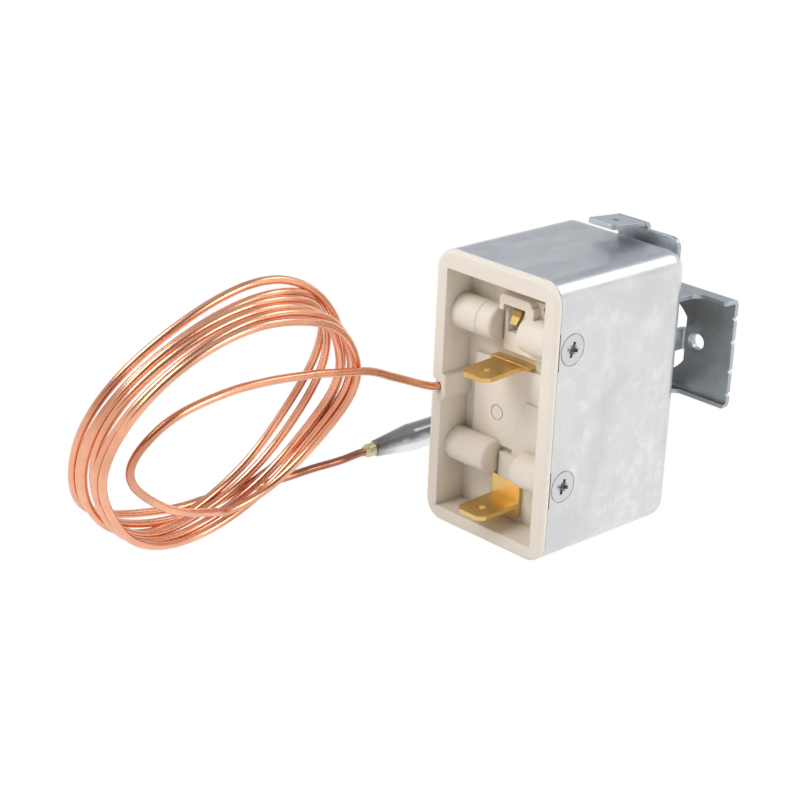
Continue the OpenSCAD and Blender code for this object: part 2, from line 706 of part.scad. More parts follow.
// Stop tongue turned back towards the case from the right edge of the spindle hole
module stop_tongue() {
    translate([0, 0, axis_z]) along_z(-tongue_w / 2, tongue_w / 2) {
        translate([tongue_x + bend_out, face_y - bend_out]) quadrant_bend(-1, 1);
        translate([tongue_x, face_y - tongue_l]) square([sheet_t, tongue_l - bend_out]);
    }
}
module at_panel_holes() {
    for (side = [-1, 1]) translate([side * panel_spacing / 2, 0, axis_z]) children();
}
module front_bracket() {
    color([0.6, 0.62, 0.64]) difference() {
        union() {
            difference() {
                along_x(-face_w / 2, face_w / 2) face_section();
                // Spindle hole, cut off straight on the side where the tongue is bent in
                translate([0, 0, axis_z]) intersection() {
                    rod_y(face_hole_d, face_y - flange_l - 1, face_y + 1);
                    box([-face_hole_d, face_y - flange_l - 2, -face_hole_d],
                        [face_flat_x, face_y + 2, face_hole_d]);
                }
            }
            along_x(-leg_high_w / 2, leg_high_w / 2) leg_section(face_z1 - sheet_t, 1, foot_shoulder_z);
            along_x(-leg_low_w / 2, leg_low_w / 2) leg_section(face_z0, -1, foot_low_z);
            along_z(face_z1 - sheet_t, face_z1) leg_fillets(leg_high_w / 2, face_y - flange_l);
            along_z(face_z0, face_z0 + sheet_t) leg_fillets(leg_low_w / 2, face_y - lip_l);
            along_y(nose_y, nose_y + sheet_t) upper_foot();
            earth_tab();
            stop_tongue();
            at_panel_holes() rod_y(panel_hole_d + 2 * collar_wall, face_y - tiny, face_y + collar_l);
        }
        at_panel_holes() {
            rod_y(panel_hole_d, face_y - 2, face_y + 2);
            // Drawn-in mouth of the tapped hole
            translate([0, face_y - sheet_t - tiny, 0]) rotate([-90, 0, 0])
                cylinder(d1 = panel_hole_d + mouth_extra, d2 = panel_hole_d, h = mouth_l);
        }
        // Index notches on both side edges
        for (side = [-1, 1], dz = [-notch_far, -notch_near, notch_near, notch_far])
            translate([side * face_w / 2, 0, axis_z - notch_drop + dz]) rotate([0, 45, 0])
                box([-notch_r, face_y - 2, -notch_r], [notch_r, face_y + 1, notch_r]);
        for (side = [0, 1]) mirror([side, 0, 0]) {
            // Tapered ends of the upper flange
            along_z(face_z1 - sheet_t - 1, face_z1 + 1) polygon([
                [face_w / 2 - flange_taper, face_y - flange_l - tiny],
                [face_w / 2 + 1, face_y - flange_l - tiny],
                [face_w / 2 + 1, face_y - flange_l + flange_taper * 1.7]
            ]);
            // Rounded lower corners of the face
            translate([face_w / 2 - face_corner_r, 0, face_z0 + face_corner_r])
                along_y(face_y - 2, face_y + 1) difference() {
                    translate([0, -face_corner_r - 1]) square([face_corner_r + 1, face_corner_r + 1]);
                    circle(face_corner_r);
                }
        }
        at_rivets() rod_y(rivet_d, nose_y - 1, nose_y + sheet_t + 1);
    }
}

// Rivet through the bracket foot and the case wall, its inner head at Y = inner
module rivet_shape(inner) {
    rod_y(rivet_d, inner, nose_y + sheet_t + 0.2);
    rod_y(rivet_head_d - 0.4, inner - 0.6, inner);
    translate([0, nose_y + sheet_t, 0]) rotate([-90, 0, 0]) rotate_extrude()
        edge_profile(rivet_head_d / 2, rivet_head_t, 0.5);
}
module bracket_rivets() {
    color([0.7, 0.71, 0.72]) {
        for (x = [-rivet_high_x, rivet_high_x]) translate([x, 0, rivet_high_z]) rivet_shape(inner_y);
        translate([0, 0, rivet_low_z]) rivet_shape(inner_y - frame_t);
    }
}

module bush() {
    color([0.8, 0.68, 0.4]) translate([0, 0, axis_z]) difference() {
        union() {
            rod_y(bush_flange_d, flange_y, frame_y1 - frame_t);
            rod_y(bush_d, flange_y + 0.2, bush_end);
        }
        rod_y(journal_d + 2 * run_gap, flange_y - 1, bush_end + 1);
    }
}
module bush_nut() {
    color([0.72, 0.73, 0.74]) translate([0, 0, axis_z]) difference() {
        translate([0, nose_y, 0]) rotate([-90, 0, 0]) cylinder(d = bush_nut_w, h = bush_nut_t, $fn = 6);
        rod_y(bush_d, nose_y - 1, nose_y + bush_nut_t + 1);
    }
}

module setpoint_spindle() {
    color([0.75, 0.76, 0.77]) translate([0, 0, axis_z]) difference() {
        union() {
            rod_y(journal_d, journal_end, bush_end + 0.4);
            rod_y(spindle_d, bush_end + 0.3, spindle_end);
        }
        difference() {
            rod_y(journal_d + 1, flange_y - clip_play - clip_t, flange_y - clip_play);
            rod_y(clip_groove_d, flange_y - 2, flange_y);
        }
        // Screwdriver slot
        box([-slot_w / 2, spindle_end - slot_d, -spindle_d], [slot_w / 2, spindle_end + 1, spindle_d]);
    }
}
module stop_finger() {
    color([0.68, 0.69, 0.7]) translate([0, 0, axis_z]) difference() {
        union() {
            rod_y(spindle_d + 3.4, stop_y, stop_y + stop_t);
            box([-stop_r, stop_y, -finger_w / 2], [0, stop_y + stop_t, finger_w / 2]);
        }
        rod_y(spindle_d, stop_y - 1, stop_y + stop_t + 1);
    }
}
module retaining_ring() {
    color([0.4, 0.42, 0.45]) translate([0, 0, axis_z]) difference() {
        rod_y(clip_d, flange_y - clip_play - clip_t, flange_y - clip_play);
        rod_y(clip_groove_d, flange_y - 2, flange_y);
        box([-clip_groove_d / 2, flange_y - 2, -clip_d], [clip_groove_d / 2, flange_y, 0]);
    }
}
module setpoint_nut() {
    half = frame_w / 2 - frame_t - 0.1;
    color([0.8, 0.68, 0.4]) translate([0, 0, axis_z]) difference() {
        union() {
            box([-half, nut_y0, -nut_h / 2], [half, nut_y0 + nut_l, nut_h / 2]);
            rod_y(spigot_d, nut_y0 - 1.6, nut_y0 + 0.2);
        }
        rod_y(journal_d + 2 * run_gap, nut_y0 + 1, nut_y0 + nut_l + 1);
    }
}
module range_spring() {
    steps = 14;
    rise = (nut_y0 - spring_wire / 2) - (spring_y0 + spring_wire / 2);
    count = spring_turns * steps;
    color([0.62, 0.64, 0.67]) translate([0, 0, axis_z]) swept_tube([
        for (i = [0 : count]) [
            spring_r * cos(360 * i / steps),
            spring_y0 + spring_wire / 2 + rise * i / count,
            spring_r * sin(360 * i / steps)
        ]
    ], spring_wire, 6);
}

module mechanism_frame() {
    color([0.66, 0.68, 0.7]) difference() {
        union() {
            box([-frame_w / 2, frame_y1 - frame_t, frame_z0], [frame_w / 2, frame_y1, frame_z1]);
            for (side = [-1, 1]) mirror([side < 0 ? 1 : 0, 0, 0]) {
                along_x(frame_w / 2 - frame_t, frame_w / 2) polygon([
                    [frame_y1, arm_z0], [arm_y0 + 1.5, arm_z0], [arm_y0, arm_z0 + 1.5],
                    [arm_y0, pivot_z + 3], [arm_y0 + 3, frame_z1 - 4], [arm_y0 + 6, frame_z1],
                    [frame_y1, frame_z1]
                ]);
            }
        }
        translate([0, 0, axis_z]) rod_y(bush_d, frame_y1 - 2, frame_y1 + 1);
        translate([0, 0, capsule_z]) rod_y(stud_d, frame_y1 - 2, frame_y1 + 1);
        translate([0, 0, rivet_low_z]) rod_y(rivet_d, frame_y1 - 2, frame_y1 + 1);
        translate([0, pivot_y, pivot_z]) rod_x(pivot_d, -frame_w, frame_w);
    }
}
module pivot_pin() {
    end = frame_w / 2 + 0.6;
    color([0.8, 0.81, 0.82]) translate([0, pivot_y, pivot_z]) rod_x(pivot_d, -end, end);
}
module sensing_lever() {
    color([0.7, 0.72, 0.74]) difference() {
        union() {
            box([-lever_w / 2, lever_y, capsule_z - 3], [lever_w / 2, lever_y + lever_t, axis_z + 4]);
            for (x = [-lever_w / 2, lever_w / 2 - lever_t])
                box([x, lever_y, pivot_z - ear_h / 2], [x + lever_t, pivot_y + 1.9, pivot_z + ear_h / 2]);
        }
        translate([0, pivot_y, pivot_z]) rod_x(pivot_d + 2 * run_gap, -lever_w, lever_w);
    }
}

// Two pressed diaphragms with a raised rim, carried on a hub that is riveted to the frame
module diaphragm_capsule() {
    color([0.76, 0.74, 0.66]) translate([0, 0, capsule_z]) {
        translate([0, capsule_y, 0]) rotate([-90, 0, 0]) rotate_extrude() polygon([
            [0, 0.6], [2, 0.6], [2.4, 0.2], [3.2, 0.2], [3.8, 0.9], [4.6, 0.2], [5.4, 0.9], [6.4, 0.6],
            [capsule_d / 2, 1], [capsule_d / 2, 2], [6.4, capsule_t - 0.4], [4.4, capsule_t],
            [0, capsule_t]
        ]);
        rod_y(hub_d, capsule_y + capsule_t - 0.2, frame_y1 - frame_t);
        rod_y(stud_d, capsule_y + capsule_t, frame_y1);
    }
}
module thrust_stud() {
    color([0.85, 0.84, 0.8]) translate([0, 0, capsule_z]) {
        rod_y(stud_d, lever_y + lever_t + stud_gap, capsule_y + 0.6 - stud_gap);
        rod_y(stud_d + 0.6, capsule_y - 0.4, capsule_y + 0.6 - stud_gap);
    }
}
module inner_capillary() {
    color([0.8, 0.5, 0.36]) swept_tube(inner_route, capillary_d);
}

module push_pin() {
    color([0.93, 0.92, 0.88]) translate([0, 0, axis_z]) {
        rod_y(pin_d, blade_y + blade_t + pin_gap, lever_y - pin_gap);
        rod_y(pin_d + 1, blade_y + blade_t + pin_gap, blade_y + blade_t + pin_gap + 0.6);
    }
}
module switch_plate() {
    color([0.72, 0.52, 0.36]) difference() {
        translate([0, 0, plug_z + skirt_t]) along_y(cover_y0, base_d) difference() {
            round_rect(plug_w - 2 * skirt_t, plug_h - 2 * skirt_t, plug_r - skirt_t);
            translate([-plug_w / 2, groove_z - plug_z - skirt_t - land_h / 2 - 0.2])
                square([recess_side + land_in, land_h + 0.4]);
        }
        translate([0, 0, axis_z]) rod_y(pin_d + 2 * run_gap, cover_y0 - 1, base_d + 1);
    }
}
module snap_blade() {
    color([0.8, 0.62, 0.34]) difference() {
        box([-blade_w / 2, blade_y, blade_z0], [blade_w / 2, blade_y + blade_t, blade_z1]);
        translate([0, 0, contact_z]) rod_y(contact_d / 2, blade_y - 1, blade_y + 1);
        translate([0, 0, blade_rivet_z]) rod_y(blade_rivet_d + 2 * blade_play, blade_y - 1, blade_y + 1);
        // Window that frees the spring tongue
        box([-1.2, blade_y - 1, blade_foot_z1 + 2], [1.2, blade_y + 1, axis_z - 4]);
    }
}
module moving_contact() {
    color([0.86, 0.86, 0.84]) translate([0, 0, contact_z]) {
        rod_y(contact_d, blade_y - contact_h + snap_gap, blade_y);
        rod_y(contact_d / 2, blade_y - 0.1, blade_y + blade_t + 0.1);
        rod_y(contact_d, blade_y + blade_t, blade_y + blade_t + contact_h - snap_gap);
    }
}
module fixed_contacts() {
    color([0.86, 0.86, 0.84]) translate([0, 0, contact_z]) {
        rod_y(contact_d, back_y + tab_t, blade_y - contact_h);
        rod_y(contact_d, blade_y + blade_t + contact_h, outer_leg_y);
    }
}
module blade_rivet() {
    head_y = blade_y + blade_t + blade_play;
    color([0.8, 0.68, 0.4]) translate([0, 0, blade_rivet_z]) {
        rod_y(blade_rivet_d, blade_y - blade_play, head_y);
        rod_y(2.4, head_y, head_y + 0.6);
    }
}

module capillary_lead() {
    color([0.85, 0.5, 0.36]) swept_tube(lead_route, capillary_d);
}
// Outer shape of the coil as one closed ring
module capillary_coil() {
    color([0.85, 0.5, 0.36]) translate(coil_c) rotate([0, 90 + coil_lean, 0]) rotate_extrude($fn = 96)
        translate([coil_r, 0]) polygon([
            [-coil_band / 2, -coil_depth / 2], [coil_band / 2 - coil_edge, -coil_depth / 2],
            [coil_band / 2, -coil_depth / 2 + coil_edge], [coil_band / 2, coil_depth / 2 - coil_edge],
            [coil_band / 2 - coil_edge, coil_depth / 2], [-coil_band / 2, coil_depth / 2]
        ]);
}
module capillary_tail() {
    color([0.7, 0.38, 0.3]) swept_tube(tail_route, capillary_d);
}
module solder_joint() {
    color([0.8, 0.76, 0.58]) translate(bulb_start) rotate([-90, 0, 0]) rotate_extrude() polygon([
        [0, 0], [capillary_d / 2 + 0.1, 0], [solder_d / 2, 0.8], [solder_d / 2, solder_l - 0.4],
        [solder_d / 2 - 0.2, solder_l], [0, solder_l]
    ]);
}
module sensor_bulb() {
    color([0.66, 0.66, 0.67]) translate(bulb_start + [0, solder_l, 0]) rotate([-90, 0, 0])
        rotate_extrude() polygon([
        [0, 0], [solder_d / 2 + 0.1, 0], [solder_d / 2 + 0.3, 0.3], [bulb_d / 2, cone_l],
        [bulb_d / 2, cone_l + bulb_l - 1.2], [bulb_d / 2 - 1.2, cone_l + bulb_l], [0, cone_l + bulb_l]
    ]);
}

// The footprint is centred on the origin
module placed() {
    translate([0, -mid_y, 0]) children();
}

placed() steel_case();
placed() terminal_base();
placed() case_screws();
placed() upper_terminal();
placed() lower_terminal();
placed() third_terminal();
placed() front_bracket();
placed() bracket_rivets();
placed() bush();
placed() bush_nut();
placed() setpoint_spindle();
placed() stop_finger();
placed() retaining_ring();
placed() setpoint_nut();
placed() range_spring();
placed() mechanism_frame();
placed() pivot_pin();
placed() sensing_lever();
placed() diaphragm_capsule();
placed() thrust_stud();
placed() inner_capillary();
placed() push_pin();
placed() switch_plate();
placed() snap_blade();
placed() moving_contact();
placed() fixed_contacts();
placed() blade_rivet();
placed() capillary_lead();
placed() capillary_coil();
placed() capillary_tail();
placed() solder_joint();
placed() sensor_bulb();
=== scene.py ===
"""Looks of the capillary thermostat: stage, camera, wound copper tube and the finish of every part."""

import math

import bpy
import numpy as np
from mathutils import Matrix, Vector


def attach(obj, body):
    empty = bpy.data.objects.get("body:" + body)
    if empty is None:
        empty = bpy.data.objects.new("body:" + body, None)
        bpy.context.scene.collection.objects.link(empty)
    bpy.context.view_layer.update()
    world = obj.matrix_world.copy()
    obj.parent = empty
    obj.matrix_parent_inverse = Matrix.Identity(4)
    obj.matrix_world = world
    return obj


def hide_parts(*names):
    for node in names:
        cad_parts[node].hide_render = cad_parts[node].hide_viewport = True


bl_info = {
    "name": "Capillary thermostat looks",
    "version": (1, 0, 0),
    "blender": (4, 5, 0),
    "location": "View3D > Sidebar > Thermostat",
    "description": "Builds the stage, the capillary and the finishes of a capillary thermostat",
    "category": "Object",
}

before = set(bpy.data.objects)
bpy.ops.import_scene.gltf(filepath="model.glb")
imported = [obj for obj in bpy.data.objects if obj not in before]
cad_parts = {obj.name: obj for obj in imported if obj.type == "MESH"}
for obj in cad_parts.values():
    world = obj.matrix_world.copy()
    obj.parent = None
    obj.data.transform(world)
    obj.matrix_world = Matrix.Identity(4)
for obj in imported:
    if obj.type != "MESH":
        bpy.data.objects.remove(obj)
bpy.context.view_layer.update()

MM = 0.001
# The CAD part is centred over its footprint; the places below count Y from the terminal rim
MID_Y = 20.2

# Camera of the photograph: its place in millimetres, its angles in degrees, its lens and sensor in
# millimetres, and how near and far it sees in metres
CAMERA_AT = (223.931, -236.786, 151.2)
CAMERA_AZIMUTH = 45.994
CAMERA_ELEVATION = 21.201
CAMERA_ROLL = 2.429
LENS = 94.41
SENSOR = 36
CLIP = (0.01, 20)

# The room's light: its colour, its strength away from and on the photographer's side, the direction of
# that side, and the cosines of the angle to it between which the strength changes
ROOM_COLOR = (0.93, 0.95, 1.0, 1)
ROOM_STRENGTH = (0.58, 0.22)
PHOTOGRAPHER_SIDE = (0.62, -0.72, 0.3)
SIDE_EDGE = (0.45, 0.8)
# Sines of the height above the horizon between which the white backdrop ends, as metal shows it
BACKDROP_EDGE = (0.15, 0.4)
WHITE = (1, 1, 1, 1)
FLOOR_COLOR = (0.96, 0.96, 0.96, 1)
FLOOR_HALF = 3.0
# The floor lies a hair below the part, so that no two faces share a plane
FLOOR_Z = -0.00002
# Lamps: name, place and aim in metres, side in metres and power in watts
LAMPS = (
    ("Key", (-0.30, -0.60, 0.62), (0, -0.01, 0.02), 0.50, 4.6),
    ("Side", (0.75, 0.10, 0.35), (0, 0, 0.03), 0.45, 2.4),
    ("Back", (0.26, 0.56, 0.56), (0, 0.01, 0.04), 0.34, 1.1),
)

# Route of the capillary from the groove in the base to the coil
LEAD = [
    (-12.1, 1.2, 24.4), (-12.1, 0.2, 24.4), (-12.4, -1, 24.5), (-12.9, -2.4, 24.9), (-13.3, -4.2, 25.6),
    (-13.4, -7, 26.8), (-13.4, -10.1, 28.1), (-13.3, -13, 29.4), (-13.1, -16, 30.4), (-12.9, -19.5, 31.1),
    (-12.7, -23, 31.8), (-12.6, -26.5, 32.5), (-12.4, -30, 33), (-12.2, -33.5, 33.5), (-12, -37, 33.9),
    (-11.9, -40.5, 34.1), (-12, -44, 34.1), (-12.1, -47.5, 33.8), (-12.4, -51, 33.2), (-12.8, -54.2, 32.3),
    (-13.5, -57, 30.8), (-14.4, -59.2, 28.7), (-15.6, -60.4, 26.4), (-16.8, -60.8, 24), (-18, -60.2, 21.5),
    (-19.3, -58.4, 18.8), (-20.6, -55.6, 16.1), (-22, -52.2, 13.4), (-23.3, -48.6, 10.9),
    (-24.6, -44.8, 8.9), (-25.7, -41, 7.3), (-26.6, -36.5, 5.9), (-27, -33.6, 5.3),
]
# Route from the coil to the bulb
TAIL = [
    (-34, -33, 4.3), (-33.3, -29.5, 4.6), (-32.4, -25.2, 5), (-31.6, -21, 5.3), (-30.8, -16.8, 5.7),
    (-29.7, -13.5, 6.4), (-28.9, -11, 6.8), (-28.2, -9, 7.1), (-27.7, -6.8, 7.4), (-27.5, -4, 7.7),
    (-27.5, -2.4, 7.7),
]
# Plane of the coil: centre, axis towards the case side, and the two directions angles are counted in
COIL_CENTRE = Vector((-21.7, -40.7, 25.4))
COIL_AXIS = Vector((0.9, 0, -0.436)).normalized()
COIL_U = Vector((0, -1, 0))
COIL_V = Vector((-0.436, 0, -0.9)).normalized()
# Radius of the outermost turns on the near and the far side, by angle
NEAR_RIM = [
    (-154, 22.2), (-136, 22.8), (-119, 23.4), (-105, 23.5), (-92, 24.1), (-77, 24.6), (-64, 25),
    (-50, 25.3), (-37, 26), (-26, 26.1), (-16, 26.1), (-6, 25.4), (6, 24.3), (21, 23.2), (36, 22.4),
    (70, 24.9), (82, 25.2), (98, 25.5), (113, 25.3), (129, 24.9), (146, 24.7), (164, 24.5), (177, 25.1),
    (191, 25),
]
FAR_RIM = [
    (-118, 25.8), (-105, 25.8), (-90, 25.2), (-76, 24.2), (-62, 23.1), (-46, 22.9), (-29, 22.9),
    (-14, 23.3), (-3, 23.7), (11, 23.7), (27, 24.4), (41, 25.7), (66, 25), (91, 24.2), (110, 23.6),
    (127, 23.5), (140, 22.6), (154, 22.5), (175, 22.1), (188, 22.9), (218, 24.5),
]
# Angles at which every turn is laid, and for each turn its distance from the middle plane and how far it
# lies outside the two rims there
STATIONS = (107, 155, 192, 209, 254, 285, 310, 340, 375, 440)
TURNS = (
    ((4, 0), (3.6, -0.4), (4.2, 1.4), (4.1, 2.3), (4.2, 0.2), (4.2, 0.45), (4.35, 0.25), (4.8, -0.6),
     (3.6, -0.4), (4.1, 0)),
    ((3.6, 0), (2.3, 0), (2.9, 1.2), (2.8, 2), (2.6, 0.3), (2.7, 0.3), (3.2, -0.45), (3.4, -0.65),
     (2, 0), (2.85, 0.15)),
    ((1.9, 0), (0.7, 0), (1.6, 0), (1.5, 0.3), (1.2, 0), (1.15, 0.05), (1.15, 0.15), (1.2, 0.1),
     (0.7, -0.8), (1.55, 0.05)),
    ((0, 0), (-1.8, 0), (-2, 0), (-1.9, -0.2), (-0.2, -0.1), (-0.35, -0.1), (-0.4, 0.35), (-0.3, 0),
     (-1.2, 0.1), (0.55, 0.9)),
    ((-1.6, 0.4), (-4, -0.1), (-3.8, -0.1), (-3.6, -0.1), (-1.6, -0.1), (-1.6, -0.85), (-1.3, -0.6),
     (-1.6, -0.6), (-2.55, -0.1), (-1.1, 0)),
    ((-0.6, 0.9), (1.1, 1.6), (0.7, 1.2), (0, 2), (-4.1, 0.1), (-3.9, -0.3), (-3.7, -0.3), (-3.85, 0),
     (-4, 0), (-3.7, 0)),
)
# The same two values where the last turn leaves for the tail
LAST_STATION = (-1.9, 1.3)
# Degrees from one point of the coil to the next
ANGLE_STEP = 4
# The lead comes from inside: how much further in it starts, and over how many degrees it moves out
START_INSET = 3.6
START_SPAN = 50
# The coil has to end within this distance of the tail's first point
TAIL_REACH = 6
# Angles to both sides over which the corners of a table are smoothed, and their weights
EASE_ANGLES = (-16, -8, 0, 8, 16)
EASE_WEIGHTS = (1, 2, 3, 2, 1)

# Limits in the frame, in metres, between which a colour fades: the tube's darker tail by X, Y and Z, and
# the heat's colour on the bulb by Y
TUBE_DARK_X = (-0.027, -0.024)
TUBE_DARK_Y = (-0.056, -0.035)
TUBE_DARK_Z = (0.009, 0.012)
BULB_HEAT_Y = (-0.0205, -0.0155)

# Colours that a user has no need to change; in a pair, a mask leads from the first to the second
COPPER_STAIN_AND_REFLECTION = (0.46, 0.17, 0.09, 1)
COPPER_TAIL_DARK = (0.3, 0.1, 0.07, 1)
TOP_ZINC_DARK_REFLECTION = ((0.46, 0.49, 0.53, 1), (0.6, 0.63, 0.66, 1))
PLATING_AND_SHADE = ((0.66, 0.67, 0.68, 1), (0.42, 0.42, 0.42, 1))
TURNED_STEEL_AND_SHADE = ((0.6, 0.61, 0.62, 1), (0.2, 0.2, 0.2, 1))
MOULDING_DUST_AND_SHADE = (0.4, 0.33, 0.22, 1)
BOARD = ((0.42, 0.22, 0.1, 1), (0.55, 0.32, 0.16, 1))
CERAMIC_AND_SHADE = ((0.86, 0.84, 0.79, 1), (0.6, 0.56, 0.5, 1))
BRASS_DUST_AND_SHADE = (0.35, 0.2, 0.06, 1)
DULL_BRASS_DUST_AND_SHADE = (0.25, 0.14, 0.05, 1)
TURNED_BRASS_AND_SHADE = ((0.75, 0.56, 0.27, 1), (0.3, 0.2, 0.08, 1))
BRONZE = ((0.68, 0.42, 0.2, 1), (0.8, 0.54, 0.28, 1))
SILVER = ((0.86, 0.85, 0.82, 1), (0.4, 0.38, 0.34, 1))
SOLDER = ((0.62, 0.52, 0.27, 1), (0.78, 0.7, 0.45, 1))
BULB = ((0.8, 0.8, 0.8, 1), (0.95, 0.94, 0.93, 1))
BULB_TOP_DARK_REFLECTION = (0.18, 0.185, 0.185, 1)
BULB_HEAT = (0.2, 0.18, 0.17, 1)

NODE_SPACING = 180
SHADER_SOCKETS = {
    "color": "Base Color", "metal": "Metallic", "rough": "Roughness", "normal": "Normal",
    "specular": "Specular IOR Level", "sss": "Subsurface Weight", "sss_scale": "Subsurface Scale",
}


def place(x, y, z):
    """Point in the frame, in metres, from millimetres counted from the terminal rim."""
    return Vector((x * MM, (y - MID_Y) * MM, z * MM))


# Route of the capillary


def eased(xs, ys, x):
    """Value at x between the points, with the corners smoothed over."""
    spread = [float(np.interp(x + d, xs, ys)) for d in EASE_ANGLES]
    return sum(w * s for w, s in zip(EASE_WEIGHTS, spread)) / sum(EASE_WEIGHTS)


def ring_value(table, angle):
    """Smooth value at an angle from (angle, value) pairs that go once round."""
    base = sorted(((a + 180) % 360 - 180, v) for a, v in table)
    xs = [a - 360 for a, _ in base] + [a for a, _ in base] + [a + 360 for a, _ in base]
    return eased(xs, [v for _, v in base] * 3, (angle + 180) % 360 - 180)


def rounded_route(places, steps=4):
    """Catmull-Rom curve through the places, so that no bend of the tube shows a corner."""
    points = [Vector(p) for p in places]
    ends = [points[0] * 2 - points[1], *points, points[-1] * 2 - points[-2]]
    route = []
    for a, b, c, d in zip(ends, ends[1:], ends[2:], ends[3:]):
        for k in range(steps):
            t = k / steps
            route.append((b * 2 + (c - a) * t + (a * 2 - b * 5 + c * 4 - d) * t * t
                          + (b * 3 - a - c * 3 + d) * t ** 3) / 2)
    return route + [points[-1]]


def coil_route(half):
    """Points of all turns, in millimetres; half is the outermost turns' distance from the middle plane."""
    laid = [(360 * k + a, *v) for k, turn in enumerate(TURNS) for a, v in zip(STATIONS, turn)]
    laid.append((360 * len(TURNS) + STATIONS[0], *LAST_STATION))
    xs, lanes, extra = zip(*laid)
    route = []
    for angle in range(xs[0], xs[-1] + 1, ANGLE_STEP):
        lane = eased(xs, lanes, angle)
        mixing = (half - lane) / (2 * half)
        near, far = ring_value(NEAR_RIM, angle), ring_value(FAR_RIM, angle)
        r = near * (1 - mixing) + far * mixing + eased(xs, extra, angle)
        start = max(0.0, 1 - (angle - xs[0]) / START_SPAN)
        r -= START_INSET * start * start
        a = math.radians(angle)
        route.append(COIL_CENTRE + COIL_U * (r * math.cos(a)) + COIL_V * (r * math.sin(a))
                     + COIL_AXIS * lane)
    return route


# Node helpers


class Tree:
    """Adds nodes to a node tree and sets or links their inputs."""

    def __init__(self, tree):
        self.tree = tree
        self.x = 0

    def add(self, kind, inputs=None, **props):
        """New node; its inputs are given by name or number, as plain values or as sockets to link."""
        node = self.tree.nodes.new(kind)
        node.location = (self.x, 0)
        self.x += NODE_SPACING
        for key, value in props.items():
            setattr(node, key, value)
        for key, value in (inputs or {}).items():
            self.put(node.inputs[key], value)
        return node

    def put(self, socket, value):
        """Links a socket to another, or sets its plain value."""
        if isinstance(value, bpy.types.NodeSocket):
            self.tree.links.new(value, socket)
        else:
            socket.default_value = value

    def math(self, operation, a, b, clamp=False):
        return self.add("ShaderNodeMath", {0: a, 1: b}, operation=operation, use_clamp=clamp).outputs[0]

    def dot(self, a, b):
        return self.add("ShaderNodeVectorMath", {0: a, 1: b}, operation="DOT_PRODUCT").outputs["Value"]

    def stretched(self, at, factors):
        """Coordinates multiplied along each axis."""
        return self.add("ShaderNodeVectorMath", {0: at, 1: factors}, operation="MULTIPLY").outputs[0]

    def parts(self, vector):
        """The three sockets X, Y and Z of a vector."""
        return self.add("ShaderNodeSeparateXYZ", {0: vector}).outputs

    def ramp(self, value, low, high, start=0.0, end=1.0):
        """Goes from low to high while the value goes from start to end."""
        return self.add("ShaderNodeMapRange", {"Value": value, "From Min": start, "From Max": end,
                                               "To Min": low, "To Max": high}).outputs[0]

    def noise(self, at, scale, detail=2.0, roughness=0.5, distortion=0.0):
        """The two sockets, value and colour, of a noise pattern."""
        return self.add("ShaderNodeTexNoise", {"Vector": at, "Scale": scale, "Detail": detail,
                                               "Roughness": roughness, "Distortion": distortion}).outputs


def new_group(name, inputs, outputs):
    """Shader group that puts out numbers: its helper, the sockets that come in and those to fill."""
    group = bpy.data.node_groups.new(name, "ShaderNodeTree")
    for label, kind, default in inputs:
        socket = group.interface.new_socket(label, in_out="INPUT", socket_type=kind)
        socket.default_value = default
    for label in outputs:
        group.interface.new_socket(label, in_out="OUTPUT", socket_type="NodeSocketFloat")
    t = Tree(group)
    return t, t.add("NodeGroupInput").outputs, t.add("NodeGroupOutput").inputs


def spangle_group():
    """Crystal pattern, long fine scratches and soft blotches of galvanised sheet."""
    t, src, out = new_group(
        "Zinc spangle",
        [
            ("Coordinate", "NodeSocketVector", (0, 0, 0)),
            ("Crystal size", "NodeSocketFloat", 2.2),
            ("Scratch amount", "NodeSocketFloat", 0.4),
        ],
        ["Crystals", "Scratches", "Blotches"],
    )
    # The crystal size is in millimetres and the pattern's scale in crystals for each metre
    scale = t.math("DIVIDE", 1 / MM, src["Crystal size"])
    warp = t.noise(src["Coordinate"], scale=600.0, detail=3.0)["Color"]
    shift = t.stretched(warp, (0.0012, 0.0012, 0.0012))
    moved = t.add("ShaderNodeVectorMath", {0: src["Coordinate"], 1: shift}, operation="ADD").outputs[0]
    cells = t.add("ShaderNodeTexVoronoi", {"Vector": moved, "Scale": scale})
    grey = t.add("ShaderNodeSeparateColor", {0: cells.outputs["Color"]})
    t.put(out["Crystals"], grey.outputs[0])
    lines = t.noise(t.stretched(moved, (900.0, 120.0, 2600.0)), scale=1.0, detail=4.0)[0]
    scratches = t.ramp(lines, 0, 1, start=0.6, end=0.75)
    t.put(out["Scratches"], t.math("MULTIPLY", scratches, src["Scratch amount"]))
    soft = t.noise(src["Coordinate"], scale=110.0, detail=5.0, roughness=0.6)[0]
    t.put(out["Blotches"], t.ramp(soft, 0, 1, start=0.3, end=0.7))


def wear_group():
    """Mask of outer edges, broken up by a grain, mask of hollows for dust and painted shade, and the
    grain.
    """
    t, src, out = new_group(
        "Edge, dust and shade",
        [
            ("Coordinate", "NodeSocketVector", (0, 0, 0)),
            ("Edge width", "NodeSocketFloat", 0.0004),
            ("Grain scale", "NodeSocketFloat", 900.0),
        ],
        ["Edge", "Dust and shade", "Grain"],
    )
    grain = t.noise(src["Coordinate"], src["Grain scale"], detail=4.0)[0]
    t.put(out["Grain"], grain)
    rounded = t.add("ShaderNodeBevel", {"Radius": src["Edge width"]}, samples=4).outputs[0]
    flat = t.add("ShaderNodeNewGeometry").outputs["Normal"]
    # An edge is where the rounded normal turns away from the flat one
    turn = t.ramp(t.dot(rounded, flat), 0, 1, start=0.995, end=0.9)
    t.put(out["Edge"], t.math("MULTIPLY", t.math("MULTIPLY", turn, grain), 1.6, clamp=True))
    # Hollows found by occlusion, where the finishes lay dust and painted shade
    hollow = t.add("ShaderNodeAmbientOcclusion", {"Distance": 0.003}, samples=4, only_local=True)
    t.put(out["Dust and shade"], t.ramp(hollow.outputs["AO"], 0, 1, start=0.85, end=0.2))


